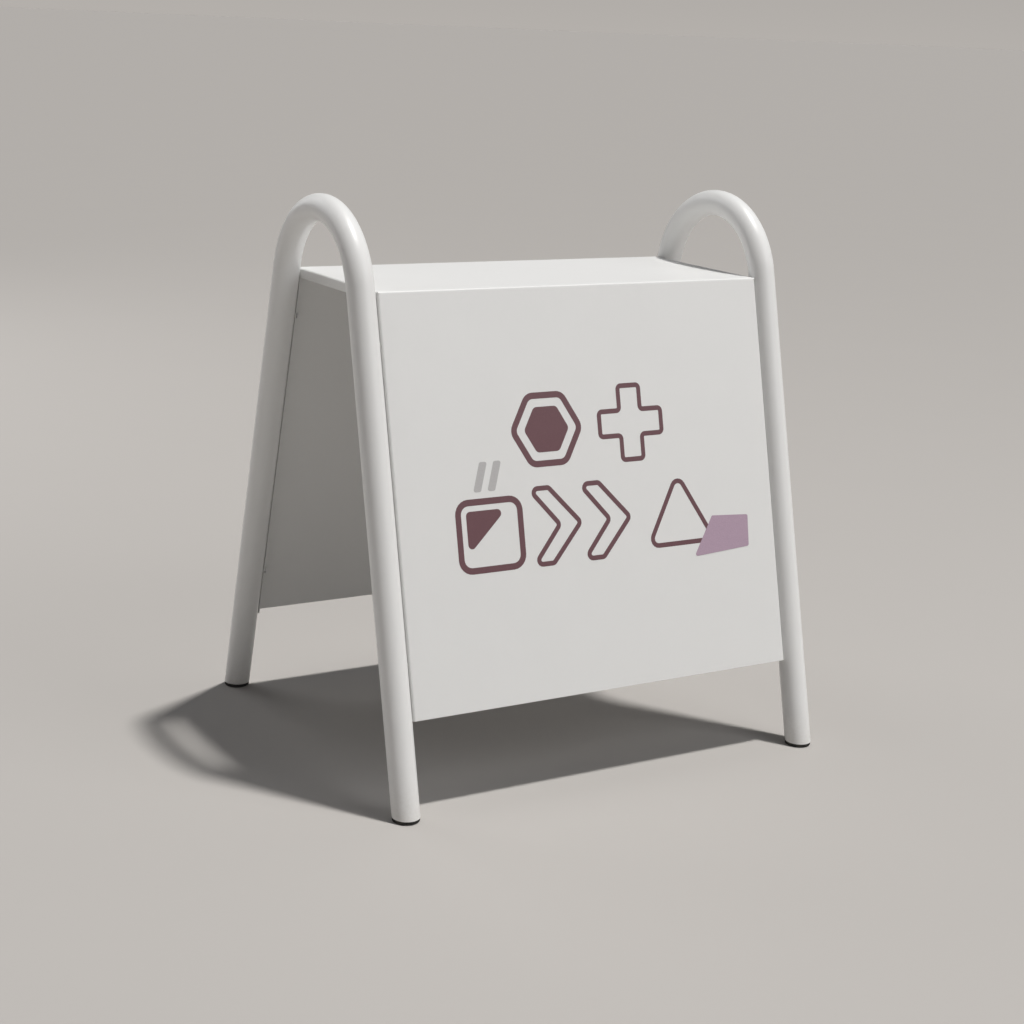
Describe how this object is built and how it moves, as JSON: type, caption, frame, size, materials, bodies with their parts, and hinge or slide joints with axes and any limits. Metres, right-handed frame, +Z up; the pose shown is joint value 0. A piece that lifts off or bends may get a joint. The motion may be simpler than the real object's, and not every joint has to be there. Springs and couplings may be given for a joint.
{
  "type": "sandwich board",
  "caption": "Rigid free-standing sandwich board: bent-tube hoops with handle tops carry one folded white sheet with front and back display faces and a flat top shelf, on levelling feet",
  "frame": {"origin": "centre of the footprint, on the floor", "axes": "+X to the right across the board seen from the front, -Y to the front, +Z up"},
  "size_m": [0.696, 0.6136, 0.79],
  "materials": {
    "tube_white": "white powder coat, satin",
    "sheet_white": "white powder coat, satin",
    "zinc_screw": "zinc plated",
    "spring_steel": "dark spring steel",
    "zinc_nut": "zinc plated",
    "black_nylon": "black moulded nylon",
    "zinc_stud": "zinc plated",
    "black_rubber_pad": "black moulded pad, matt"
  },
  "bodies": {
    "frame": {"left_hoop": "tube_white", "right_hoop": "tube_white", "board_sheet": "sheet_white", "front_left_screws": "zinc_screw", "front_left_lock_washers": "spring_steel", "front_left_rivet_nuts": "zinc_nut", "front_left_foot_insert": "black_nylon", "front_right_screws": "zinc_screw", "front_right_lock_washers": "spring_steel", "front_right_rivet_nuts": "zinc_nut", "front_right_foot_insert": "black_nylon", "back_left_screws": "zinc_screw", "back_left_lock_washers": "spring_steel", "back_left_rivet_nuts": "zinc_nut", "back_left_foot_insert": "black_nylon", "back_right_screws": "zinc_screw", "back_right_lock_washers": "spring_steel", "back_right_rivet_nuts": "zinc_nut", "back_right_foot_insert": "black_nylon"},
    "front_left_foot": {"front_left_foot_stud": "zinc_stud", "front_left_foot_pad": "black_rubber_pad"},
    "front_right_foot": {"front_right_foot_stud": "zinc_stud", "front_right_foot_pad": "black_rubber_pad"},
    "back_left_foot": {"back_left_foot_stud": "zinc_stud", "back_left_foot_pad": "black_rubber_pad"},
    "back_right_foot": {"back_right_foot_stud": "zinc_stud", "back_right_foot_pad": "black_rubber_pad"}
  },
  "joints": [
    {"name": "front_left_foot_screw", "type": "slide", "parent": "frame", "child": "front_left_foot", "axis": [0, 0, -1], "range_m": [0, 0.01]},
    {"name": "front_right_foot_screw", "type": "slide", "parent": "frame", "child": "front_right_foot", "axis": [0, 0, -1], "range_m": [0, 0.01]},
    {"name": "back_left_foot_screw", "type": "slide", "parent": "frame", "child": "back_left_foot", "axis": [0, 0, -1], "range_m": [0, 0.01]},
    {"name": "back_right_foot_screw", "type": "slide", "parent": "frame", "child": "back_right_foot", "axis": [0, 0, -1], "range_m": [0, 0.01]}
  ]
}
